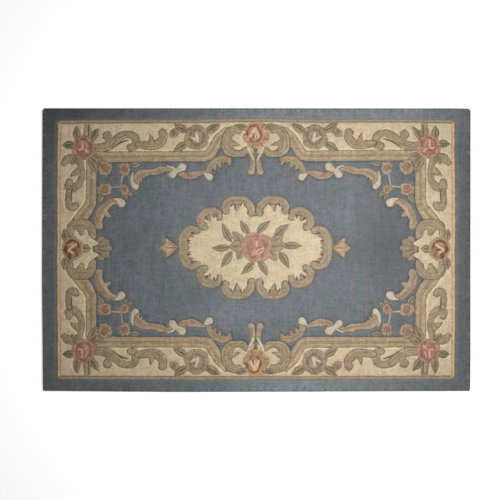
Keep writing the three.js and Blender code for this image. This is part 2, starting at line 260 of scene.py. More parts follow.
def rug_outline(inset):
    """The rug's outline from its bottom left corner, round by the right, a little inside the rim."""
    side_x = RUG_LENGTH / 2 - inset
    side_y = RUG_WIDTH / 2 - inset
    round_x = side_x - CORNER_RADIUS
    round_y = side_y - CORNER_RADIUS
    edges = [
        rug_edge(EDGE_STRAY["bottom"], (-round_x, -side_y), (round_x, -side_y)),
        rug_edge(EDGE_STRAY["right"], (side_x, -round_y), (side_x, round_y)),
        rug_edge(EDGE_STRAY["top"][::-1], (round_x, side_y), (-round_x, side_y)),
        rug_edge(EDGE_STRAY["left"][::-1], (-side_x, round_y), (-side_x, -round_y)),
    ]
    corners = [(round_x, -round_y), (round_x, round_y), (-round_x, round_y), (-round_x, -round_y)]
    outline = []
    for quarter, (edge, corner) in enumerate(zip(edges, corners)):
        outline.extend(edge)
        for degrees in (-60, -30):
            angle = math.radians(90 * quarter + degrees)
            outline.append(corner + CORNER_RADIUS * np.array((math.cos(angle), math.sin(angle))))
    return np.array(outline)


# The blue carries painted light and shade over the rug.
blue = wool("slate_blue", (84, 93, 95), (92, 94, 100), mottle=1.1, streaks=1.6, shows_painted_light=True)
patches = [(rug_outline(RIM_INSET), blue, "outer band")]
cuts = {"outer band": 1.0}
GROUNDS = ("outer band", "border ground", "field", "medallion ground")

# The tufter's hand: the pattern sits a little high and to the left, its corners are drawn in, parts of
# it rise, and no line of it is quite straight. A rise is its place, how far it reaches along and across
# the rug, and its height. A sway is how far the lines stray, and over what length.
ASIDE = -3
LIFT = 2.5
CORNERS_IN_X = 2.5
CORNERS_IN_Y = 5
RISES = ((0, 560, 150, 130, 5), (600, 430, 280, 150, 7), (0, 0, 420, 420, 3.5))
SWAYS = ((1.8, 130), (1.1, 30))
FOUR_QUARTERS = ((1, 1), (-1, 1), (1, -1), (-1, -1))
TWO_ENDS = ((1, 1), (-1, 1))
TWO_SIDES = ((1, 1), (1, -1))
ONCE = ((1, 1),)


def with_hills(base, x, y, hills):
    """A base value with soft hills on it, at a place."""
    for hill_x, hill_y, reach_x, reach_y, height in hills:
        off_x = (x - hill_x) / reach_x
        off_y = (y - hill_y) / reach_y
        base += height * math.exp(-(off_x**2) - off_y**2)
    return base


def sway(x, y, seed):
    """How far the tufter's hand sways at a place."""
    return sum(stray * wobble(x, y, size, seed + i) for i, (stray, size) in enumerate(SWAYS))


def by_hand(x, y):
    """Where a point of the drawing lands on the canvas."""
    out_x = x / RUG_LENGTH * 2
    out_y = y / RUG_WIDTH * 2
    lift = with_hills(LIFT * (1 - out_y**4), x, y, RISES) - CORNERS_IN_Y * out_y * out_x**2
    aside = ASIDE * (1 - out_x**4) - CORNERS_IN_X * out_x * out_y**2
    return x + aside + sway(x, y, 2), y + lift + sway(x, y, 4)


def tuft(outline, yarn, quarters=FOUR_QUARTERS, motif=None, middle=(0, 0), cut=1.0):
    """Fills an outline with a yarn in each of these quarters of the rug. The shears go round a named
    motif, less deep where its cut is under 1, and yarn without a name only shades what it lies on."""
    for copy, (sign_x, sign_y) in enumerate(quarters):
        landed = [by_hand(middle[0] + sign_x * x, middle[1] + sign_y * y) for x, y in outline]
        name = motif if motif is None or motif in GROUNDS else f"{motif} {copy}"
        patches.append((np.array(landed), yarn, name))
        cuts[name] = cut


# The cream ground of the border and the two lines round it. Along the long sides the outer line is tan
# and the inner one a thin rust, along the short sides they are rust and a light peach.
BORDER_LINES = {"tan": (-841, 841, 548), "rust": (-830, 830, 538), "cream": (-825, 825, 533)}
END_LINES = {"rust": (827, 841, 548), "peach": (824, 834, 536)}
border_tan = wool("border_tan", (146, 132, 110), (144, 124, 104))
border_rust = wool("border_rust", (124, 100, 74), (132, 110, 84), line=0.3)
border_peach = wool("border_peach", (188, 160, 122), (182, 154, 118), line=0.3)
cream = wool("cream", (193, 177, 142), (191, 168, 138), mottle=0.8, streaks=0.8, line=0.8)


def fine(outline):
    """The same closed outline with a point at every step."""
    points = []
    for start, end in zip(outline, [*outline[1:], outline[0]]):
        count = max(1, round(math.dist(start, end) / STEP))
        points.extend(np.linspace(start, end, count, endpoint=False))
    return points


def rectangle(left, right, half_y):
    return fine([(right, -half_y), (right, half_y), (left, half_y), (left, -half_y)])


tuft(rectangle(*BORDER_LINES["tan"]), border_tan, ONCE, motif="border line", cut=0.6)
tuft(rectangle(*BORDER_LINES["rust"]), border_rust, ONCE)
tuft(rectangle(*END_LINES["rust"]), border_rust, TWO_ENDS)
tuft(rectangle(*END_LINES["peach"]), border_peach, TWO_ENDS)
tuft(rectangle(*BORDER_LINES["cream"]), cream, ONCE, motif="border ground")

# The blue field inside the frame. Its edge lies under the frame and the arms, which are tufted next.
FIELD_EDGE = (
    (0, 400), (50, 404), (78, 400), (104, 405), (118, 425), (124, 440), (141, 440), (152, 430),
    (187, 385), (198, 380), (680, 380), (680, 205), (700, 166), (728, 141), (728, 112), (706, 104),
    (690, 84), (686, 58), (684, 0),
)


def close_on_middle(quarter):
    """A quarter's edge, mirrored into the closed outline round the rug's middle."""
    right = [*quarter, *((x, -y) for x, y in quarter[-2::-1])]
    return [*right, *((-x, y) for x, y in right[-2:0:-1])]


tuft(fine(close_on_middle(FIELD_EDGE)), blue, ONCE, motif="field")

# The frame: a broad tan band round the field with mitred corners, sloping in to the arms at each
# middle. A darker stripe runs along it, with a pinkish edge inside and small rings on it.
FRAME_BAND = (
    (90, 504, 14), (122, 498, 32), (152, 466, 44), (186, 411, 44), (198, 397, 44), (217, 391, 44),
    (693, 391, 44), (693, 212, 44), (696, 192, 46), (709, 166, 50), (735, 134, 52), (764, 104, 38),
)
FRAME_RINGS = ((531, 391), (430, 391), (308, 389), (693, 188), (693, 275))
RING_RADIUS = 9
RING_HOLE = 4.8
RING_POINTS = 12
frame_tan = wool("frame_tan", (165, 145, 112), (169, 144, 113), mottle=1.4, streaks=1.3)
frame_dark = wool("frame_dark", (142, 121, 86), (146, 121, 90), mottle=1.4, streaks=1.3)
frame_pink = wool("frame_pink", (149, 125, 100), (146, 127, 97))
# A paler cream, tufted only as a painted highlight along the frame's outer edge.
painted_highlight_cream = wool("painted_highlight_cream", (203, 186, 153), (201, 180, 147), mottle=0.8, streaks=0.6)
ring_brown = wool("ring_brown", (137, 113, 79), (137, 113, 79))


def unit(vectors):
    return vectors / np.linalg.norm(vectors, axis=1)[:, None]


def left_of(vectors):
    """Each direction, turned a quarter to the left."""
    return np.stack([-vectors[:, 1], vectors[:, 0]], axis=1)


def band(rows, share=1.0, shift=0.0):
    """The outline of a band along straight rows of (x, y, width), with mitred corners. share narrows
    it and shift moves it sideways, as parts of its half width."""
    rows = np.array(rows, float)
    runs = unit(np.diff(rows[:, :2], axis=0))
    arriving = np.vstack([runs[:1], runs])
    leaving = np.vstack([runs, runs[-1:]])
    along = unit(arriving + leaving)
    mitre = np.sum(along * arriving, axis=1)
    across = left_of(along) * (rows[:, 2] / 2 / mitre)[:, None]
    one_side = rows[:, :2] + across * (shift + share)
    other_side = rows[:, :2] + across * (shift - share)
    return fine([*one_side, *other_side[::-1]])


def disc(x, y, radius):
    angles = np.arange(RING_POINTS) * 2 * math.pi / RING_POINTS
    return [(x + radius * math.cos(a), y + radius * math.sin(a)) for a in angles]


# A pale cream strip along the frame's outer edge: a painted highlight on the carved edge.
tuft(band(FRAME_BAND, share=0.16, shift=1.16), painted_highlight_cream)
tuft(band(FRAME_BAND), frame_tan, motif="frame")
tuft(band(FRAME_BAND, share=0.3), frame_dark)
tuft(band(FRAME_BAND, share=0.14, shift=-0.72), frame_pink)
for x, y in FRAME_RINGS:
    tuft(disc(x, y, RING_RADIUS), ring_brown)
    tuft(disc(x, y, RING_HOLE), frame_pink)

# The arms: at the middle of each side of the frame a pair of broad taupe arms curls round a flower.
# The upper and lower ones have a thorn on their inner side, and the ones at the ends a broad finger.
TOP_ARM = (
    (72, 498, 26), (93, 501, 34), (114, 487, 38), (125, 460, 38), (122, 430, 46), (104, 407, 38),
    (78, 400, 26), (55, 403, 30), (42, 416, 26),
)
SIDE_ARM = (
    (784, 60, 28), (783, 84, 30), (768, 103, 38), (738, 108, 40), (708, 104, 38), (690, 84, 34),
    (687, 54, 32),
)
ARM_THORN = (110, 446, 69, 440, 28)
ARM_FINGER = ((744, 98, 38), (738, 82, 29), (734, 68, 18))
taupe = wool("taupe", (156, 135, 101), (149, 126, 98), mottle=1.5, streaks=1.2, line=0.88)
taupe_dark = wool("taupe_dark", (133, 112, 84), (127, 109, 80), mottle=1.3)
taupe_light = wool("taupe_light", (140, 122, 92), (142, 120, 96), mottle=1.3)


def ribbon(rows, share=1.0, shift=0.0, trim=0):
    """The outline of a ribbon with round ends along rows of (x, y, width). share narrows it and shift
    moves it sideways, as parts of its half width, and trim shortens both ends by so many steps."""
    line = smooth_line(rows)
    line = line[trim:len(line) - trim]
    along = unit(np.gradient(line[:, :2], axis=0))
    across = left_of(along)
    half = line[:, 2:] / 2
    middle = line[:, :2] + across * half * shift
    one_side = middle + across * half * share
    other_side = middle - across * half * share

    def cap(i, forwards):
        radius = half[i] * share
        turns = [math.radians(degrees) for degrees in (36, 72, 108, 144)]
        return [middle[i] + radius * (math.cos(a) * across[i] + math.sin(a) * along[i]) * forwards
                for a in turns]

    return [*one_side, *cap(-1, 1), *other_side[::-1], *cap(0, -1)]


def spine(x, y, tip_x, tip_y, fewest):
    """Places from a foot to a tip, in fewest steps or more: their part of the way, the places, and the
    direction across."""
    foot = np.array((x, y), float)
    run = np.array((tip_x, tip_y)) - foot
    part = np.linspace(0, 1, max(fewest, round(np.hypot(*run) / STEP)) + 1)
    return part, foot + np.outer(part, run), np.array((-run[1], run[0])) / np.hypot(*run)


def leaf(x, y, tip_x, tip_y, wide, bend=0.0):
    """The outline of a pointed leaf from its foot to its tip, its middle bent sideways."""
    part, middle, across = spine(x, y, tip_x, tip_y, fewest=5)
    middle = middle + np.outer(4 * bend * part * (1 - part), across)
    out = np.outer(wide / 2 * np.sin(math.pi * part**0.8) ** 0.85, across)
    return [*(middle + out), *(middle - out)[-2:0:-1]]


def thorn(x, y, tip_x, tip_y, wide, bend=0.0):
    """The outline of a thorn, broad at its foot and hooked to one side."""
    part, middle, across = spine(x, y, tip_x, tip_y, fewest=4)
    middle = middle + np.outer(bend * part**2, across)
    out = np.outer(wide / 2 * (1 - part) ** 0.7, across)
    return [*(middle + out), *(middle - out)[-2::-1]]


for rows in (TOP_ARM, SIDE_ARM):
    tuft(ribbon(rows), taupe, motif="arm")
tuft(thorn(*ARM_THORN, bend=4), taupe, motif="arm")
tuft(ribbon(ARM_FINGER), taupe, motif="arm")
for rows in (TOP_ARM, SIDE_ARM):
    tuft(ribbon(rows, share=0.12, shift=0.36, trim=2), taupe_dark)
    tuft(ribbon(rows, share=0.3, shift=-0.5, trim=2), taupe_light)

# The scrolls of the border: four in each quarter, ribbed ribbons that end in curls. Two have a thorn,
# and a brown line lies in the bend of two.
LONG_SCROLL = (
    (684, 431, 32), (650, 431, 34), (618, 441, 38), (592, 460, 34), (567, 480, 32), (540, 487, 26),
    (517, 480, 30), (506, 459, 32), (509, 438, 31), (529, 431, 28),
)
LONG_SCROLL_CURL = ((613, 449, 26), (620, 467, 28), (626, 481, 37))
LONG_SCROLL_LINE = ((539, 461, 5), (556, 456, 8), (574, 449, 8), (592, 440, 6), (606, 431, 4))
SECOND_SCROLL = (
    (500, 445, 22), (474, 441, 32), (446, 437, 33), (417, 442, 37), (397, 459, 36), (389, 476, 32),
    (393, 491, 34),
)
SECOND_SCROLL_THORN = (437, 444, 441, 486, 28)
SHORT_SCROLL = (
    (748, 384, 22), (739, 352, 23), (734, 318, 24), (739, 290, 26), (754, 268, 31), (774, 258, 34),
    (787, 267, 35), (787, 283, 28),
)
SHORT_SCROLL_HEAD = ((744, 366, 22), (754, 380, 29), (774, 385, 32), (795, 380, 34), (809, 367, 24))
SHORT_SCROLL_THORN = (744, 332, 785, 316, 34)
SHORT_HOOK = (
    (787, 246, 22), (789, 214, 25), (788, 192, 27), (778, 178, 30), (764, 181, 31), (760, 186, 28),
)
SHORT_HOOK_LINE = ((770, 257, 4), (776, 244, 6), (777, 226, 7), (777, 206, 5))
scroll_brown = wool("scroll_brown", (102, 80, 54), (110, 86, 60), mottle=1.3)


def scroll(rows, motif):
    """A ribbed ribbon: a darker line on the inner side of its curl and a lighter one outside."""
    tuft(ribbon(rows), taupe, motif=motif)
    tuft(ribbon(rows, share=0.12, shift=0.3, trim=2), taupe_dark)
    tuft(ribbon(rows, share=0.2, shift=-0.4, trim=2), taupe_light)


scroll(LONG_SCROLL_CURL, "long scroll")
scroll(LONG_SCROLL, "long scroll")
tuft(thorn(*SECOND_SCROLL_THORN, bend=-5), taupe, motif="second scroll")
scroll(SECOND_SCROLL, "second scroll")
tuft(thorn(*SHORT_SCROLL_THORN, bend=-6), taupe, motif="short scroll")
scroll(SHORT_SCROLL_HEAD, "short scroll")
scroll(SHORT_SCROLL, "short scroll")
scroll(SHORT_HOOK, "short hook")
for rows in (LONG_SCROLL_LINE, SHORT_HOOK_LINE):
    tuft(ribbon(rows), scroll_brown)

# The brackets: peach ribbons with thorns and ivory ends that hang inside the frame's corners, and the
# toothed acanthus that joins them to the frame's slope.
UPPER_BRACKET = (
    (500, 271, 22), (503, 290, 31), (494, 308, 38), (475, 320, 37), (452, 325, 28), (427, 326, 27),
    (401, 333, 33), (377, 338, 22), (353, 335, 22),
)
MIDDLE_BRACKET = ((326, 320, 18), (302, 312, 28), (272, 310, 34), (244, 317, 26), (218, 325, 14))
ACANTHUS = (
    (204, 316, 16), (198, 336, 26), (184, 357, 32), (163, 374, 32), (138, 381, 30), (112, 375, 26),
)
ACANTHUS_THORNS = (
    (114, 374, 109, 348, 24), (136, 376, 136, 354, 16), (156, 368, 149, 337, 24), (177, 352, 169, 326, 22),
    (193, 336, 185, 312, 14),
)
LOWER_BRACKET = (
    (572, 192, 30), (584, 205, 25), (602, 202, 30), (622, 191, 33), (641, 171, 37), (655, 148, 39),
    (663, 120, 33), (659, 98, 34),
)
BRACKET_THORNS = (
    (478, 312, 463, 296, 18), (488, 300, 474, 281, 18), (496, 284, 484, 266, 14),
    (652, 162, 606, 140, 40), (630, 188, 610, 168, 20),
)
IVORY_ENDS = (
    ((515, 322, 8), (520, 306, 13), (520, 288, 16), (514, 272, 22), (504, 263, 26)),
    ((331, 331, 18), (342, 323, 27), (351, 313, 33)),
    ((333, 327, 18), (320, 338, 29), (309, 345, 37)),
    ((338, 334, 12), (352, 344, 11), (372, 349, 8)),
    ((214, 318, 12), (203, 309, 26), (194, 303, 33)),
    ((600, 212, 8), (586, 210, 16), (572, 203, 28), (565, 194, 36)),
)
MIDDLE_CURL = ((278, 307, 8), (288, 317, 14), (298, 327, 10))
peach = wool("peach", (150, 129, 106), (145, 129, 101), mottle=1.3)
peach_dark = wool("peach_dark", (142, 112, 86), (138, 115, 84), mottle=1.2)
peach_light = wool("peach_light", (166, 144, 118), (162, 138, 116), mottle=1.2)
bracket_rust = wool("bracket_rust", (138, 108, 86), (132, 100, 80), mottle=1.3)
ivory = wool("ivory", (179, 171, 145), (182, 165, 145), mottle=1.0, streaks=0.3)

for row in BRACKET_THORNS:
    tuft(thorn(*row, bend=4), peach, motif="lower bracket" if row[0] > 600 else "upper bracket")
for rows, motif in (
    (UPPER_BRACKET, "upper bracket"), (MIDDLE_BRACKET, "middle bracket"), (LOWER_BRACKET, "lower bracket"),
):
    tuft(ribbon(rows), peach, motif=motif)
    tuft(ribbon(rows, share=0.3, shift=0.25, trim=2), peach_dark)
    tuft(ribbon(rows, share=0.2, shift=-0.66, trim=2), peach_light)
tuft(ribbon(MIDDLE_CURL), bracket_rust)
for row in ACANTHUS_THORNS:
    tuft(thorn(*row, bend=-4), taupe_light, motif="acanthus")
tuft(ribbon(ACANTHUS), taupe_light, motif="acanthus")
tuft(ribbon(ACANTHUS, share=0.22, shift=-0.3, trim=2), peach)
tuft(ribbon(ACANTHUS, share=0.12, shift=0.35, trim=2), taupe_dark)
for rows in IVORY_ENDS:
    tuft(ribbon(rows), ivory, motif="ivory end")

# The finials, one in the opening of each upper and lower pair of arms: two flared tan legs, a cream
# strip beside each, and an olive calyx that holds the flower.
FINIAL_LEG = ((12, 390, 18), (12, 360, 22), (14, 340, 24), (19, 325, 30))
FINIAL_STRIP = ((32, 425, 14), (20, 399, 13), (9, 375, 12))
CALYX = ((-15, 432), (0, 436), (15, 432), (4, 394), (-4, 394))
CALYX_VEINS = ((-6, 432, -1.8, 400, 5), (0, 432, 0, 400, 5), (6, 432, 1.8, 400, 5))
finial_tan = wool("finial_tan", (161, 140, 116), (156, 140, 112), mottle=1.3)
olive = wool("olive", (134, 118, 85), (128, 111, 79), mottle=1.6)
olive_dark = wool("olive_dark", (90, 78, 52), (86, 78, 51), mottle=1.4)
olive_light = wool("olive_light", (146, 128, 95), (138, 124, 90), mottle=1.4)

tuft(ribbon(FINIAL_LEG), finial_tan, motif="finial")
tuft(ribbon(FINIAL_LEG, share=0.3, shift=0.3, trim=1), peach_dark)
tuft(ribbon(FINIAL_STRIP), cream, motif="finial strip", cut=0.6)
tuft(fine(CALYX), olive_light, TWO_SIDES, motif="calyx", cut=0.6)
for row in CALYX_VEINS:
    tuft(leaf(*row), olive_dark, TWO_SIDES)

# The clusters, three leaves over each inside corner of the frame, and the fans, one inside each pair of
# arms at the ends: pinkish rays between brown lines, their foot under a cream point.
CORNER_CLUSTER = ((706, 402, 644, 378, 30), (704, 390, 668, 322, 34), (707, 398, 654, 350, 26))
SIDE_POINT = ((706, 66), (694, 51), (676, 38), (656, 25), (670, 15), (690, 8), (706, 8))
FAN_HUB = (684, 4)
FAN_RADIUS = 80
FAN_SPREAD = 66
FAN_RAYS = 5
FAN_STEPS = 25
FAN_SCALLOP = 0.15
FAN_SIDE_LOSS = 0.24
FAN_LINE = {"start": 16, "end": 65.6, "wide": 6}
FAN_LIGHT = {"start": 34, "end": 66, "wide": 12}
fan_tan = wool("fan_tan", (126, 114, 87), (132, 114, 96), mottle=1.3)
cluster_green = wool("cluster_green", (132, 116, 84), (134, 112, 84), mottle=1.6)
bud_pink = wool("bud_pink", (143, 119, 95), (137, 119, 91), mottle=1.3)
mauve_dark = wool("mauve_dark", (124, 101, 76), (118, 96, 69), mottle=1.3)
lobe_brown = wool("lobe_brown", (106, 80, 52), (114, 86, 58))


def veined_leaf(
    row, body, motif, light=None, quarters=FOUR_QUARTERS, middle=(0, 0), bend=0.0, vein=olive_dark
):
    """A carved leaf with a dark midrib, and a lighter stroke along one half."""
    x, y, tip_x, tip_y, wide = row
    foot = np.array((x, y))
    run = np.array((tip_x - x, tip_y - y), float)
    tuft(leaf(*row, bend=bend), body, quarters, motif, middle, cut=0.7)
    if light:
        aside = np.array((-run[1], run[0])) / np.hypot(*run) * wide * 0.2
        start = foot + run * 0.15 + aside
        end = foot + run * 0.85 + aside * 0.5
        tuft(leaf(*start, *end, wide * 0.3, bend=bend), light, quarters, None, middle)
    tuft(leaf(x, y, *(foot + 0.9 * run), max(6, 0.2 * wide), bend=bend), vein, quarters, None, middle)


def fan_place(ray, reach):
    """The place on the fan at this distance from its hub, along one of its rays or between them."""
    angle = math.radians(180 - FAN_SPREAD + 2 * FAN_SPREAD * ray / FAN_RAYS)
    return FAN_HUB[0] + reach * math.cos(angle), FAN_HUB[1] + reach * math.sin(angle)


def fan_edge():
    """The fan's outline: it points back to the rug's middle and has a scalloped edge."""
    outline = [FAN_HUB]
    for step in range(FAN_STEPS + 1):
        turn = step / FAN_STEPS
        scallop = 1 - FAN_SCALLOP * abs(math.cos(math.pi * FAN_RAYS * turn)) ** 3
        side_loss = 1 - FAN_SIDE_LOSS * (2 * turn - 1) ** 2
        outline.append(fan_place(turn * FAN_RAYS, FAN_RADIUS * scallop * side_loss))
    return fine(outline)


def fan_stroke(ray, start, end, wide, yarn):
    tuft(leaf(*fan_place(ray, start), *fan_place(ray, end), wide), yarn, TWO_ENDS)


for row in CORNER_CLUSTER:
    veined_leaf(row, cluster_green, "cluster", taupe_light)
tuft(fan_edge(), fan_tan, TWO_ENDS, motif="fan", cut=0.7)
for ray in range(1, FAN_RAYS):
    fan_stroke(ray, **FAN_LINE, yarn=lobe_brown)
for ray in range(FAN_RAYS):
    fan_stroke(ray + 0.5, **FAN_LIGHT, yarn=bud_pink)
tuft(fine(SIDE_POINT), cream, motif="border ground")

# The sprigs: four small tan roses, three of them on pale stems, and a few leaves fill the space
# between the frame and each bracket.
SPRIG_ROSES = (
    (551, 336, 46, 56, 0), (637, 253, 54, 60, -90), (553, 253, 42, 38, 130), (635, 342, 60, 60, -25),
)
SPRIG_LEAVES = (
    (526, 354, 484, 359, 22), (549, 250, 516, 221, 18), (556, 244, 541, 208, 16), (640, 232, 666, 194, 20),
)
SPRIG_STEMS = (
    ((559, 312, 9), (564, 286, 8), (567, 262, 8)),
    ((612, 262, 9), (588, 262, 8), (567, 264, 8)),
    ((567, 266, 8), (561, 262, 8), (556, 258, 8)),
)
SMALL_ROSE = (
    (0.0, 1.0), (0.42, 0.92), (0.66, 0.98), (0.94, 0.62), (0.9, 0.3), (1.0, -0.1), (0.8, -0.56),
    (0.44, -0.84), (0.1, -1.0), (-0.36, -0.9), (-0.78, -0.62), (-0.98, -0.16), (-0.88, 0.24), (-0.96, 0.6),
    (-0.6, 0.94), (-0.3, 0.9),
)
bud_tan = wool("bud_tan", (156, 132, 106), (146, 126, 102))
bud_heart = wool("bud_heart", (128, 94, 66), (134, 98, 68))
rust = wool("rust", (124, 82, 52), (130, 92, 60), mottle=1.3)
stem_tan = wool("stem_tan", (165, 148, 124), (154, 140, 116))
SMALL_ROSE_STROKES = (
    (
        bud_pink,
        ((-0.7, 0.5, 0.36), (-0.76, 0.0, 0.44), (-0.5, -0.5, 0.36)),
        ((0.72, 0.42, 0.3), (0.78, 0.0, 0.36), (0.56, -0.5, 0.3)),
        ((-0.3, 0.72, 0.24), (0.0, 0.8, 0.3), (0.3, 0.72, 0.24)),
    ),
    (
        rust,
        ((0.24, 0.56, 0.24), (0.5, 0.22, 0.4), (0.36, -0.22, 0.26)),
        ((-0.4, 0.42, 0.18), (-0.46, 0.06, 0.24), (-0.3, -0.3, 0.18)),
    ),
    (bud_heart, ((-0.1, 0.42, 0.3), (0.02, 0.1, 0.5), (-0.02, -0.34, 0.34))),
    (rust, ((0.0, 0.3, 0.14), (0.06, -0.1, 0.16)), ((-0.16, -0.66, 0.16), (0.2, -0.68, 0.16))),
    (
        peach_light,
        ((-0.5, 0.98, 0.14), (-0.4, 0.66, 0.2)), ((0.3, 1.0, 0.14), (0.24, 0.72, 0.2)),
        ((0.98, 0.5, 0.14), (0.68, 0.4, 0.2)), ((0.9, -0.5, 0.14), (0.6, -0.36, 0.2)),
        ((0.2, -1.0, 0.14), (0.12, -0.76, 0.2)), ((-0.6, -0.86, 0.14), (-0.42, -0.58, 0.2)),
        ((-1.0, 0.06, 0.14), (-0.7, 0.04, 0.2)),
    ),
)


def small_rose(row, motif):
    """A small round rose of this width and height, turned clockwise by so many degrees."""
    x, y, wide, tall, degrees = row
    turn = math.radians(-degrees)

    def place(across, along):
        across *= wide / 2
        along *= tall / 2
        out_x = across * math.cos(turn) - along * math.sin(turn)
        out_y = across * math.sin(turn) + along * math.cos(turn)
        return x + out_x, y + out_y

    tuft(fine([place(*point) for point in SMALL_ROSE]), bud_tan, motif=motif, cut=0.6)
    for yarn, *strokes in SMALL_ROSE_STROKES:
        for rows in strokes:
            tuft(ribbon([(*place(a, b), share * wide / 2) for a, b, share in rows]), yarn)


for rows in SPRIG_STEMS:
    tuft(ribbon(rows), stem_tan, motif="stem", cut=0.5)
for row in SPRIG_LEAVES:
    veined_leaf(row, olive_light, "sprig leaf")
for row in SPRIG_ROSES:
    small_rose(row, "sprig rose")

# The medallion: a cream oval edged by tan lobes that curl inwards. Thorns stand on their inner sides,
# with cream nicks cut between them and brown strokes along them.
MEDALLION = (-1.5, 5)
MEDALLION_EDGE = ((0, 166), (24, 196), (110, 196), (150, 150), (222, 130), (240, 92), (290, 66), (304, 0))
TOP_LOBE = (
    (18, 146, 32), (19, 170, 34), (42, 195, 36), (76, 200, 37), (107, 196, 37), (127, 179, 34),
    (126, 154, 30),
)
CORNER_LOBE = (
    (152, 127, 26), (156, 143, 28), (175, 153, 34), (204, 150, 34), (227, 131, 34), (234, 106, 32),
    (222, 88, 28), (211, 85, 24),
)
SIDE_LOBE = (
    (248, 73, 34), (271, 75, 36), (291, 62, 40), (303, 38, 42), (304, 0, 42), (303, -38, 42),
    (291, -62, 40), (271, -75, 36), (248, -73, 34),
)
LOBE_THORNS = (
    (76, 190, 79, 150, 32), (204, 142, 188, 110, 30), (178, 150, 170, 124, 20), (294, 52, 261, 50, 22),
    (298, 30, 268, 22, 24), (222, 104, 204, 104, 14),
)
SIDE_THORN = (292, 0, 274, 3, 22)
LOBE_HOOKS = (
    (88, 184, 80, 158, 7), (212, 134, 196, 112, 7), (286, 28, 268, 28, 7), (138, 160, 142, 136, 7),
    (30, 158, 32, 136, 7),
)
LOBE_NICKS = (
    (54, 164, 55, 192, 22), (97, 162, 97, 186, 18), (166, 116, 169, 142, 16), (196, 106, 209, 126, 14),
    (250, 46, 270, 64, 14), (266, 20, 287, 30, 12),
)
lobe_tan = wool("lobe_tan", (145, 130, 105), (151, 131, 108), mottle=1.4, line=0.88)
lobe_peach = wool("lobe_peach", (146, 120, 89), (148, 125, 93), mottle=1.3)

tuft(fine(close_on_middle(MEDALLION_EDGE)), cream, ONCE, motif="medallion ground", middle=MEDALLION)
for row in LOBE_THORNS:
    tuft(thorn(*row, bend=3), lobe_tan, motif="lobe", middle=MEDALLION, cut=0.8)
tuft(thorn(*SIDE_THORN), lobe_tan, TWO_ENDS, motif="lobe", middle=MEDALLION, cut=0.8)
for rows, quarters, inner in (
    (TOP_LOBE, FOUR_QUARTERS, taupe_light),
    (SIDE_LOBE, TWO_ENDS, lobe_peach),
    (CORNER_LOBE, FOUR_QUARTERS, lobe_peach),
):
    motif = f"lobe {rows[0][0]}"
    tuft(ribbon(rows), lobe_tan, quarters, motif, MEDALLION)
    tuft(ribbon(rows, share=0.40, shift=-0.42, trim=1), inner, quarters, None, MEDALLION)
    tuft(ribbon(rows, share=0.09, shift=0.08, trim=3), taupe_dark, quarters, None, MEDALLION)
for x, y, tip_x, tip_y, wide in LOBE_NICKS:
    tuft(thorn(x, y, tip_x, tip_y, wide), cream, motif="medallion ground", middle=MEDALLION)
    tuft(leaf(x + wide * 0.4, y + 8, tip_x + 3, tip_y + 2, 7), lobe_brown, middle=MEDALLION)
for row in LOBE_HOOKS:
    tuft(leaf(*row), lobe_brown, middle=MEDALLION)

# The tulips at the medallion's two ends: three joined peach petals, with rust lines along them.
TULIP = ((324, 3), (346, 22), (380, 46), (378, 20), (406, -1), (378, -22), (376, -45), (346, -22), (324, -3))
TULIP_LINES = ((326, 0, 372, 30, 5), (326, 0, 388, -1, 6), (326, -1, 370, -30, 5))
TULIP_LIGHTS = ((340, 8, 376, 14, 9), (342, -7, 376, -14, 9))
tulip_peach = wool("tulip_peach", (172, 140, 108), (164, 135, 104), mottle=1.3)

tuft(fine(TULIP), tulip_peach, TWO_ENDS, motif="tulip", middle=MEDALLION)
for row in TULIP_LIGHTS:
    tuft(leaf(*row), peach_light, TWO_ENDS, None, MEDALLION)
for row in TULIP_LINES:
    tuft(leaf(*row), rust, TWO_ENDS, None, MEDALLION)

# The leaves of the border flowers and of the middle rose, each carved round, with a pink bud beside
# each mauve flower and the mauve petals of two buds beside the middle rose.
BORDER_LEAVES = (
    (755, 462, 756, 522, 31), (700, 460, 662, 513, 31), (750, 395, 779, 356, 24), (288, 494, 343, 528, 32),
    (209, 492, 151, 526, 34), (290, 447, 346, 417, 32), (800, 34, 808, 86, 30), (34, 506, 82, 520, 24),
)
STEM_LEAF = ((714, 460, 26), (712, 492, 31), (710, 527, 24))
GREEN_LEAF = (768, 443, 815, 443, 33)
SIDE_INNER_LEAF = (734, 3, 694, 3, 34)
PINK_BUD = (345, 489, 34, 44, -50)
ROSE_LEAVES = (
    (82, 42, 139, 98, 32), (9, 58, 63, 112, 28), (-25, 58, -62, 112, 28), (-100, 24, -138, 100, 30),
    (-108, 2, -184, -2, 29), (-101, -18, -143, -82, 31), (-8, -61, -59, -112, 30),
    (13, -56, 50, -118, 29), (100, -20, 142, -87, 32), (117, 5, 195, 5, 31),
)
BUD_PETALS = (
    (-54, 12, -94, 68, 38), (-54, -8, -76, -52, 34), (-52, 4, -110, 5, 50),
    (60, 12, 116, 50, 40), (62, -8, 88, -58, 36), (60, 4, 132, 9, 48),
)
green = wool("green", (94, 100, 62), (104, 103, 69), mottle=1.4)
mauve = wool("mauve", (150, 128, 97), (143, 121, 94), mottle=1.4)

for row in BORDER_LEAVES:
    veined_leaf(row, olive, f"border leaf {row[0]}", olive_light)
tuft(ribbon(STEM_LEAF), taupe, motif="stem leaf", cut=0.7)
tuft(ribbon(STEM_LEAF, share=0.2, shift=0.5), olive_dark)
veined_leaf(GREEN_LEAF, green, "green leaf", olive)
veined_leaf(SIDE_INNER_LEAF, olive, "inner leaf", olive_light, TWO_ENDS)
small_rose(PINK_BUD, "pink bud")
for row in ROSE_LEAVES:
    veined_leaf(row, olive, f"rose leaf {row[0]}", olive_light, ONCE, MEDALLION, bend=3.0)
for row in BUD_PETALS:
    veined_leaf(row, mauve, f"bud petal {row[0]}", taupe_light, ONCE, MEDALLION, vein=mauve_dark)

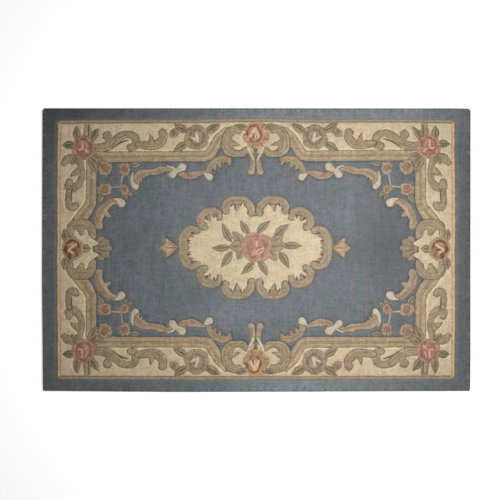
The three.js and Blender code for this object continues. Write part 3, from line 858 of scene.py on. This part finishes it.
# The flowers, on top of their leaves: a scalloped outline with a duller rim, then each petal's shadow
# and light as a stroke of another yarn. Places are from the flower's own middle.
rose_rim = wool("rose_rim", (158, 126, 99), (155, 120, 97), mottle=1.4)
rose_pink = wool("rose_pink", (156, 112, 91), (161, 115, 96), mottle=1.4)
rose_deep = wool("rose_deep", (134, 85, 68), (139, 92, 72), mottle=1.3)
rose_pale = wool("rose_pale", (196, 154, 132), (188, 146, 127), mottle=1.2)
gold = wool("gold", (166, 123, 87), (158, 121, 83), mottle=1.4)
gold_rim = wool("gold_rim", (168, 139, 99), (162, 129, 95), mottle=1.4)
gold_pale = wool("gold_pale", (206, 166, 134), (200, 168, 134), mottle=1.2)
gold_peach = wool("gold_peach", (175, 138, 102), (169, 132, 96), mottle=1.4)
side_rim = wool("side_rim", (150, 130, 94), (156, 132, 98), mottle=1.4)
side_gold = wool("side_gold", (142, 103, 60), (148, 108, 70), mottle=1.4)
side_rust = wool("side_rust", (116, 70, 31), (126, 83, 42), mottle=1.3)
gold_brown = wool("gold_brown", (116, 70, 40), (124, 80, 48), mottle=1.4)
side_dark = wool("side_dark", (82, 47, 20), (93, 55, 28), mottle=1.3)
mauve_pale = wool("mauve_pale", (202, 180, 156), (194, 170, 150), mottle=1.2)

FLOWER_EDGES = {
    "middle": (
        (-29, 59), (-3, 59), (14, 52), (35, 52), (54, 44), (62, 29), (66, 10), (61, -12), (59, -33),
        (51, -49), (29, -59), (3, -62), (-23, -60), (-37, -55), (-48, -41), (-53, -23), (-64, -6),
        (-64, 18), (-50, 33), (-42, 49),
    ),
    "corner": (
        (-42, 22), (-36, 37), (-20, 42), (-8, 51), (12, 50), (24, 46), (37, 39), (43, 23), (50, 8),
        (50, -12), (44, -30), (28, -43), (8, -50), (-12, -50), (-30, -41), (-43, -28), (-49, -8),
        (-46, 8),
    ),
    "top": (
        (-27, 52), (-9, 57), (15, 57), (39, 45), (44, 25), (57, 3), (59, -12), (52, -27), (39, -35),
        (24, -51), (7, -56), (-14, -52), (-26, -44), (-40, -31), (-52, -18), (-54, -3), (-42, 14),
        (-38, 31),
    ),
    "mauve": (
        (-38, 36), (-24, 42), (-12, 51), (14, 51), (26, 43), (41, 36), (46, 14), (55, -8), (49, -28),
        (36, -40), (18, -50), (-8, -54), (-28, -45), (-45, -36), (-47, -16), (-53, 0), (-45, 16),
    ),
    "side": (
        (-32, 32), (-15, 47), (8, 49), (28, 41), (41, 24), (45, 0), (38, -24), (28, -43), (4, -52),
        (-20, -45), (-37, -30), (-46, -6), (-43, 15),
    ),
}
FLOWER_STROKES = {
    "middle": (
        (
            rose_deep,
            ((-13, 45, 6), (5, 44, 8), (9, 39, 6)), ((-6, 30, 6), (7, 28, 5)),
            ((-35, 18, 5), (-37, 3, 7), (-34, -12, 5)), ((-20, 25, 5), (-26, 15, 7), (-27, 4, 5)),
            ((25, 30, 10), (35, 16, 17), (41, 3, 17), (40, -8, 9)),
            ((-27, -27, 6), (-23, -40, 11), (-13, -45, 12), (-2, -42, 7)),
            ((35, -18, 8), (26, -29, 14), (24, -41, 9)),
        ),
        (
            rose_pale,
            ((2, 23, 7), (3, 12, 9), (2, 2, 6)), ((-6, -8, 5), (-9, -20, 6), (-12, -29, 7)),
            ((-2, -30, 6), (0, -20, 6), (9, -12, 6), (20, -9, 6), (31, -4, 7)), ((9, -32, 5), (31, -17, 5)),
        ),
        (mauve_dark, ((1, -11, 4), (8, -3, 5), (17, -3, 4))),
        (rose_deep, ((-11, -12, 4), (-8, -3, 4)), ((11, 18, 4), (12, 7, 4))),
    ),
    "corner": (
        (
            rose_deep,
            ((-12, 33, 8), (2, 37, 12), (14, 33, 8)),
            ((-16, 24, 8), (-28, 14, 12), (-31, 3, 12), (-26, -8, 8)),
            ((22, 28, 8), (29, 17, 12), (30, 4, 10)), ((-28, -17, 8), (-23, -30, 12), (-11, -38, 9)),
            ((29, -10, 8), (21, -25, 12), (6, -32, 9)),
        ),
        (
            rose_pale,
            ((6, 27, 7), (5, 12, 11), (5, -5, 10)), ((6, -6, 7), (18, -8, 8)), ((-9, 18, 5), (-14, 4, 6)),
            ((-19, -21, 9), (-9, -11, 8)), ((32, -24, 6), (35, -14, 6)),
        ),
        (
            rose_deep,
            ((-5, 16, 5), (-7, 4, 7)), ((14, 14, 7), (17, 2, 8)), ((-4, -16, 6), (6, -16, 8), (15, -19, 6)),
        ),
        (
            mauve_dark,
            ((-42, 30, 5), (-30, 22, 6)), ((-12, 50, 5), (-8, 42, 6)), ((32, 44, 5), (25, 34, 6)),
            ((49, 2, 5), (38, 0, 6)), ((38, -38, 5), (28, -28, 6)), ((-2, -50, 5), (-2, -43, 6)),
            ((-44, -20, 5), (-34, -14, 6)),
        ),
        (rose_rim, ((-40, 6, 8), (-40, -8, 7)), ((36, 22, 7), (41, 10, 7)), ((12, -42, 7), (24, -38, 6))),
    ),
    "top": (
        (gold_brown, ((-26, 31, 7), (-14, 38, 11), (2, 38, 11), (13, 30, 7))),
        (gold_peach, ((-44, 22, 10), (-34, 32, 12))),
        (gold_brown, ((-30, 24, 7), (-34, 12, 12), (-37, 0, 9))),
        (gold_peach, ((-40, -6, 8), (-34, -20, 9))),
        (gold_pale, ((-22, -8, 9), (-12, 8, 14), (-3, 28, 12), (4, 16, 13), (14, -8, 11))),
        (gold_brown, ((-6, 6, 5), (-8, -6, 9), (-12, -16, 6))),
        (gold_pale, ((-2, 4, 6), (0, -12, 7))),
        (
            gold_brown,
            ((14, 24, 7), (21, 10, 11), (24, -4, 9), (20, -12, 6)),
            ((18, -16, 8), (10, -25, 12), (3, -26, 7)), ((-24, -12, 5), (-18, -24, 8), (-8, -30, 6)),
        ),
        (gold_peach, ((36, 18, 9), (44, 2, 15), (44, -12, 9)), ((22, 38, 8), (30, 28, 10))),
        (
            rust,
            ((38, 44, 5), (28, 30, 6)), ((56, -18, 5), (38, -16, 6)), ((30, -46, 5), (22, -34, 6)),
            ((-16, -54, 5), (-10, -40, 6)), ((-50, 2, 4), (-42, 2, 5)),
        ),
    ),
    "mauve": (
        (
            mauve_dark,
            ((-16, 26, 8), (-2, 31, 12), (14, 26, 8)),
            ((-24, 22, 7), (-30, 8, 13), (-29, -10, 12), (-20, -24, 8)),
            ((20, 20, 8), (27, 6, 12), (26, -10, 12), (18, -24, 8)),
            ((-14, -28, 8), (0, -33, 12), (12, -29, 8)), ((-26, 42, 5), (-19, 26, 6)),
            ((30, 40, 5), (20, 24, 6)), ((50, -16, 5), (34, -12, 6)), ((10, -50, 5), (5, -36, 6)),
            ((-44, -22, 5), (-32, -16, 6)), ((0, 50, 4), (0, 40, 5)),
        ),
        (
            mauve_pale,
            ((3, 20, 6), (0, 8, 10), (-4, -6, 11), (-6, -18, 8)),
            ((-6, -14, 8), (6, -9, 11), (18, -3, 9), (26, 0, 5)),
        ),
        (mauve_dark, ((10, 8, 6), (12, 0, 4))),
        (
            bud_pink,
            ((-14, 10, 6), (-15, -4, 6)), ((34, 0, 7), (38, -12, 7)), ((-38, 20, 7), (-43, 8, 7)),
            ((8, 40, 7), (20, 34, 6)), ((-20, -38, 7), (-8, -42, 6)),
        ),
    ),
    "side": (
        (
            side_dark,
            ((24, 20, 7), (14, 29, 9), (1, 34, 10), (-12, 31, 7)),
            ((-19, 27, 7), (-25, 15, 9), (-27, 3, 7)),
        ),
        (side_rust, ((-14, -17, 8), (-21, -25, 11), (-15, -33, 7))),
        (
            side_dark,
            ((27, 9, 10), (30, -4, 18), (27, -17, 10)), ((12, -22, 12), (12, -32, 19), (10, -42, 10)),
        ),
        (gold_peach, ((12, 16, 11), (-2, 20, 10))),
        (
            gold_pale,
            ((-17, 18, 6), (-5, 10, 9), (9, 0, 10), (17, -5, 7)), ((16, -7, 7), (7, -14, 9), (-3, -20, 6)),
        ),
        (side_dark, ((2, -3, 6), (-8, -6, 9), (-15, -4, 6))),
        (side_rust, ((-12, 6, 5), (-18, 4, 5))),
        (
            peach_dark,
            ((-38, 26, 5), (-30, 20, 6)), ((38, 30, 5), (30, 24, 6)), ((-40, -24, 5), (-32, -16, 6)),
            ((-6, 48, 5), (-4, 40, 6)),
        ),
        (side_rust, ((42, -4, 4), (38, -8, 5))),
        (peach_dark, ((-10, -48, 5), (-6, -38, 6))),
    ),
}
FLOWERS = (
    ("corner", rose_rim, rose_pink, (726, 430), FOUR_QUARTERS),
    ("mauve", mauve, mauve, (248, 473), FOUR_QUARTERS),
    ("top", gold_rim, gold, (-1, 477), TWO_SIDES),
    ("side", side_rim, side_gold, (771, 3), TWO_ENDS),
    ("middle", rose_rim, rose_pink, (MEDALLION[0] + 4, MEDALLION[1] + 2), ONCE),
)
FLOWER_BODY = 0.84


def smooth_round(points):
    """A smooth closed outline through the given points."""
    line = smooth_line([*points[-2:], *points, *points[:3]])
    start = np.argmin(np.linalg.norm(line - points[0], axis=1))
    later = np.linalg.norm(line[start + 3:] - points[0], axis=1)
    return line[start:start + 3 + int(np.argmin(later))]


for kind, rim_yarn, yarn, (x, y), quarters in FLOWERS:
    outline = smooth_round(FLOWER_EDGES[kind])
    tuft(outline + (x, y), rim_yarn, quarters, motif=f"{kind} flower", cut=0.35)
    tuft(outline * FLOWER_BODY + (x, y), yarn, quarters)
    for stroke_yarn, *strokes in FLOWER_STROKES[kind]:
        for rows in strokes:
            tuft(ribbon([(x + a, y + b, wide) for a, b, wide in rows]), stroke_yarn, quarters)

# The pile as one piece: the yarns' outlines are its edges, the shears' cut runs between motifs, and
# its rim rolls down to a flat back of cotton canvas. The blue pile is painted with light and shade:
# darker towards its ends and in patches, lighter along much of its long sides, and a light and a dark
# streak where its pile lay was creased by rolling. Each such spot is its place, its reach along and
# across, and how much lighter it is. The rim's rows are a height and a step outwards.
PILE_TOP = 12.5
CARVE_DEPTH = 2.6
CARVE_REACH = 3.2
CUT_PARTS = (0.0, 0.25, 0.5, 0.75, 1.0)
CUT_CLEAR = 0.8
CARVE_FADE = 1.1
FILL_STEP = 7.6
FILL_INSET = 8
FILL_CLEAR = 0.6
FILL_STRAY = {"height": 1.6, "size": 5.3}
ROW_SPACING = 0.866
WELD = 0.05
TUFT_LUMPS = {"height": 0.35, "size": 9}
BROAD_LUMPS = {"height": 0.3, "size": 60}
RIM_LUMPS = {"height": 0.5, "size": 7}
RIM = ((11.3, 3.1), (8.0, 1.6), (4.0, -1.0), (0.0, -2.6))
NAP_AND_PAINTED_LIGHT = (
    (-880, 0, 90, 900, -0.12), (-880, 470, 60, 130, -0.12), (-620, -590, 200, 60, -0.07),
    (250, 250, 90, 60, -0.10), (-330, 180, 60, 150, 0.13), (-820, 600, 240, 130, -0.38),
    (-560, 590, 260, 60, -0.10), (60, 590, 280, 60, 0.50), (560, 590, 280, 60, 0.62),
    (190, -590, 330, 60, 0.80), (900, 0, 60, 520, -0.40), (560, 30, 110, 240, -0.32),
    (430, -10, 240, 110, -0.15), (-480, -180, 40, 90, 0.16), (-240, -180, 45, 80, -0.16),
    (-500, 0, 180, 240, -0.10), (-120, -280, 160, 70, 0.25), (392, 190, 16, 120, 0.20),
    (412, 560, 7, 60, -0.22), (424, 160, 10, 160, -0.10),
)
canvas = bpy.data.materials.new("cotton_canvas")
canvas.use_nodes = True
canvas_shader = canvas.node_tree.nodes["Principled BSDF"]
canvas_shader.inputs["Base Color"].default_value = (0.55, 0.48, 0.36, 1)
canvas_shader.inputs["Roughness"].default_value = 0.95


def inside(points, outline):
    """Which points lie inside an outline, by whether it winds round them."""
    turns = np.zeros(len(points), int)
    x, y = points.T
    for (x0, y0), (x1, y1) in zip(outline, np.roll(outline, -1, axis=0)):
        left = (x1 - x0) * (y - y0) > (x - x0) * (y1 - y0)
        turns += (y0 <= y) & (y < y1) & left
        turns -= (y1 <= y) & (y < y0) & ~left
    return turns != 0


def triangles(extra_points):
    """The drawing as triangles, with extra points in it: their corners, and each one's yarn and motif."""
    points = []
    edges = []
    for outline, yarn, motif in patches:
        first = len(points)
        count = len(outline)
        points.extend(outline)
        edges.extend((first + i, first + (i + 1) % count) for i in range(count))
    points.extend(extra_points)
    vectors = [Vector(point) for point in points]
    corners, _, faces, *_ = delaunay_2d_cdt(vectors, edges, [], 1, WELD, False)
    corners = np.array([tuple(corner) for corner in corners])
    faces = np.array([tuple(face) for face in faces])
    middles = corners[faces].mean(axis=1)
    yarn_of = np.zeros(len(faces), int)
    motif_of = np.zeros(len(faces), int)
    for outline, yarn, motif in patches:
        near = np.all((middles > outline.min(axis=0)) & (middles < outline.max(axis=0)), axis=1)
        found = np.flatnonzero(near)
        found = found[inside(middles[found], outline)]
        yarn_of[found] = yarns.index(yarn)
        if motif:
            motif_of[found] = motifs.index(motif)
    return corners, faces, yarn_of, motif_of


def carved_edges(faces, motif_of):
    """The edges between two motifs, where the shears cut, and how deep of the full depth."""
    beside = {}
    for face, motif in zip(faces.tolist(), motif_of.tolist()):
        for a, b in zip(face, face[1:] + face[:1]):
            beside.setdefault((min(a, b), max(a, b)), set()).add(motif)
    edges = [edge for edge, sides in beside.items() if len(sides) > 1]
    depths = [min(cuts[motifs[motif]] for motif in beside[edge]) for edge in edges]
    return np.array(edges), np.array(depths)


def tree_of(points):
    tree = KDTree(len(points))
    for i, (x, y) in enumerate(points):
        tree.insert((x, y, 0), i)
    tree.balance()
    return tree


def clear_of(points, tree, distance):
    return [point for point in points if tree.find((*point, 0))[2] > distance]


def lumps(x, y, seed, height, size):
    """How far a place of the pile strays, in lumps of this height and size."""
    return height * wobble(x, y, size, seed)


yarns = []
motifs = []
for outline, yarn, motif in patches:
    if yarn not in yarns:
        yarns.append(yarn)
    if motif and motif not in motifs:
        motifs.append(motif)

corners, faces, yarn_of, motif_of = triangles([])
cut_ends, cut_depths = carved_edges(faces, motif_of)
cut_starts = corners[cut_ends[:, 0]]
cut_runs = corners[cut_ends[:, 1]] - cut_starts
cut_across = unit(left_of(cut_runs))
cut_tree = tree_of(np.vstack([cut_starts + cut_runs * part for part in CUT_PARTS]))
cut_depths = np.tile(cut_depths, len(CUT_PARTS))
cut_middles = cut_starts + cut_runs / 2
beside_cuts = np.vstack([cut_middles + cut_across * CARVE_REACH, cut_middles - cut_across * CARVE_REACH])
beside_cuts = clear_of(beside_cuts, cut_tree, CARVE_REACH * CUT_CLEAR)

half_x = RUG_LENGTH / 2
half_y = RUG_WIDTH / 2
fill = []
for row, y in enumerate(np.arange(-half_y, half_y, FILL_STEP * ROW_SPACING)):
    for x in np.arange(-half_x + FILL_STEP / 2 * (row % 2), half_x, FILL_STEP):
        fill.append((x + lumps(x, y, 6, **FILL_STRAY), y + lumps(x, y, 7, **FILL_STRAY)))
fill = np.array(fill)
fill = fill[inside(fill, rug_outline(FILL_INSET))]
fill = clear_of(fill, tree_of(np.vstack([corners, beside_cuts])), FILL_STEP * FILL_CLEAR)
corners, faces, yarn_of, motif_of = triangles([*beside_cuts, *fill])

pile_bm = bmesh.new()
carved = pile_bm.verts.layers.float.new("carved")
rows_layer = pile_bm.verts.layers.float.new("rows")
nap_and_painted_light = pile_bm.verts.layers.float.new("nap_and_painted_light")
for x, y in corners:
    _, nearest, distance = cut_tree.find((x, y, 0))
    depth = max(0.0, 1 - distance / (CARVE_REACH * CARVE_FADE))
    depth = depth * depth * (3 - 2 * depth) * cut_depths[nearest]
    lump = lumps(x, y, 8, **TUFT_LUMPS) + lumps(x, y, 9, **BROAD_LUMPS)
    corner = pile_bm.verts.new((x * MM, y * MM, (PILE_TOP + lump - CARVE_DEPTH * depth) * MM))
    # The carve depth also paints the groove darker in the wool, as shade.
    corner[carved] = depth
    # The distance to the cut places the painted groove shade, the painted highlight beside it, and the rows.
    corner[rows_layer] = distance
    # Painted light and shade on the blue pile.
    corner[nap_and_painted_light] = with_hills(1.0, x, y, NAP_AND_PAINTED_LIGHT)
pile_bm.verts.ensure_lookup_table()
for face, yarn in zip(faces.tolist(), yarn_of.tolist()):
    pile_face = pile_bm.faces.new([pile_bm.verts[i] for i in face])
    pile_face.material_index = yarn
    pile_face.smooth = True
pile_bm.normal_update()
if sum(face.normal.z for face in pile_bm.faces) < 0:
    bmesh.ops.reverse_faces(pile_bm, faces=pile_bm.faces)

rim = [edge for edge in pile_bm.edges if edge.is_boundary]
directions = {}
for edge in rim:
    loop = edge.link_loops[0]
    run = (loop.link_loop_next.vert.co - loop.vert.co).normalized()
    outwards = Vector((run.y, -run.x, 0))
    for vert in edge.verts:
        directions[vert] = directions.get(vert, Vector()) + outwards
for height, step_out in RIM:
    new = bmesh.ops.extrude_edge_only(pile_bm, edges=rim)["geom"]
    rim = [item for item in new if isinstance(item, bmesh.types.BMEdge)]
    moved = {}
    for edge in rim:
        for vert in edge.verts:
            if vert in moved:
                continue
            neighbours = [link.other_vert(vert) for link in vert.link_edges]
            above = next(other for other in neighbours if other in directions)
            out = directions[above].normalized()
            lump = lumps(vert.co.x / MM, vert.co.y / MM, height, **RIM_LUMPS)
            vert.co += out * (step_out + lump) * MM
            vert.co.z = height * MM
            moved[vert] = out
    directions = moved
back = bmesh.ops.edgeloop_fill(pile_bm, edges=rim)["faces"]
for face in back:
    face.material_index = len(yarns)
bmesh.ops.triangulate(pile_bm, faces=back)
bmesh.ops.recalc_face_normals(pile_bm, faces=pile_bm.faces)

pile_mesh = bpy.data.meshes.new("rug_pile")
pile_bm.to_mesh(pile_mesh)
pile_bm.free()
for material in (*yarns, canvas):
    pile_mesh.materials.append(material)
pile = bpy.data.objects.new("rug_pile", pile_mesh)
scene.collection.objects.link(pile)
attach(pile, "root")
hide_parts("rug")
